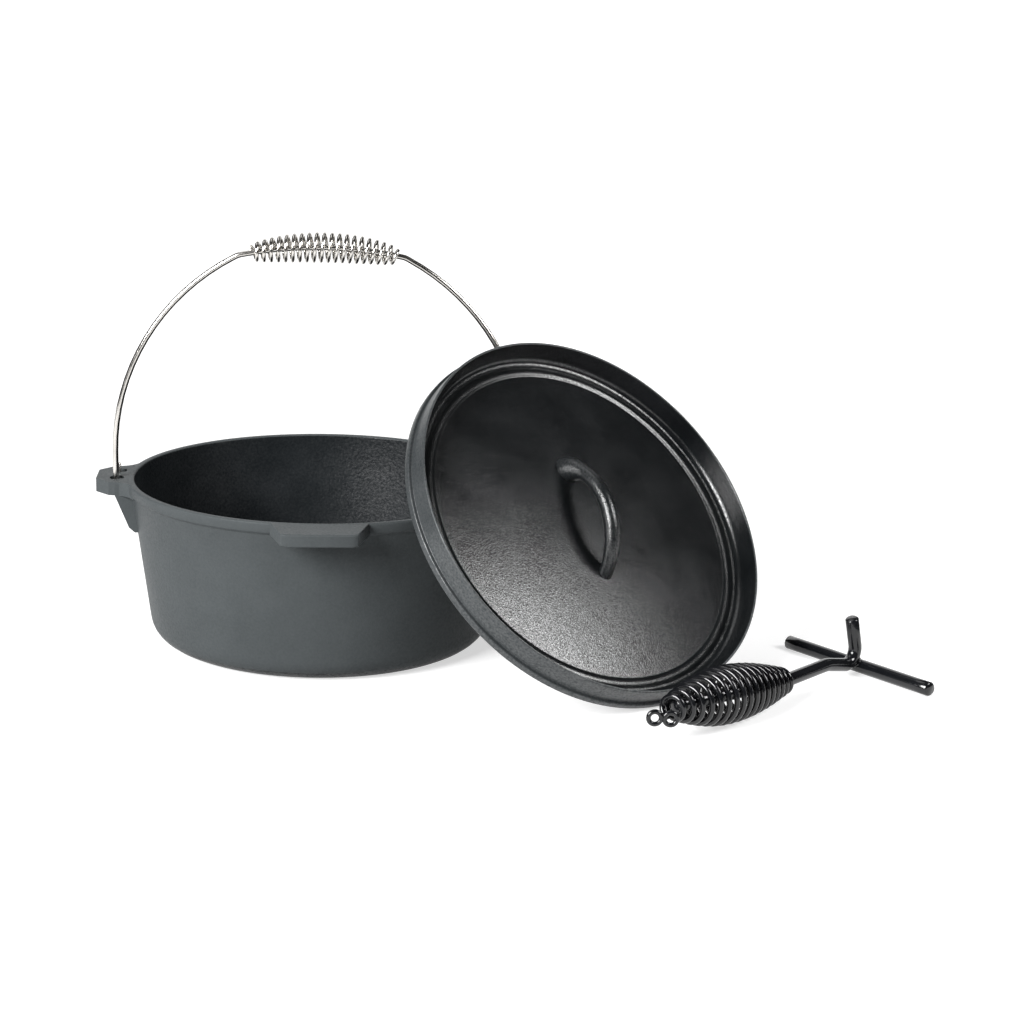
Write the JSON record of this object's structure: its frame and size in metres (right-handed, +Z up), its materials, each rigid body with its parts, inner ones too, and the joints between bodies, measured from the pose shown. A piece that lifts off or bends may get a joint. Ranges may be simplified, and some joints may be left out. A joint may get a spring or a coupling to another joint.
{
  "type": "camp dutch oven",
  "caption": "Cast-iron camp oven with a wire bail and spring grip, its flanged lid leaning on the bail, and a lid lifter with a coil grip lying in front.",
  "frame": {"origin": "centre of the pot's flat base, on the floor", "axes": "+Z up along the pot's axis, +X towards the lug on the lid's side, -Y towards the pot's front tab"},
  "size_m": [0.651, 0.4317, 0.331],
  "materials": {
    "pot_iron": "satin seasoned",
    "lid_iron": "pebbled gloss",
    "bail_steel": "bright wire",
    "lifter_black": "gloss"
  },
  "bodies": {
    "pot": {"pot": "pot_iron"},
    "bail": {"bail_wire": "bail_steel", "bail_grip_coil": "bail_steel"},
    "lid": {"lid": "lid_iron"},
    "lifter": {"lifter_rod": "lifter_black", "lifter_crossbar": "lifter_black", "lifter_crossbar_weld": "lifter_black", "lifter_grip_coil": "lifter_black", "lifter_tail_eye": "lifter_black"}
  },
  "joints": [
    {"name": "bail_swing", "type": "hinge", "parent": "pot", "child": "bail", "pos_m": [0, 0, 0.1255], "axis": [-1, 0, 0], "range_deg": [0, 93]},
    {"name": "lid_lift", "type": "slide", "parent": "pot", "child": "lid", "axis": [0, 0, 1], "range_m": [0, 0.35]},
    {"name": "lifter_lift", "type": "slide", "parent": "pot", "child": "lifter", "axis": [0, 0, 1], "range_m": [0, 0.3]}
  ]
}
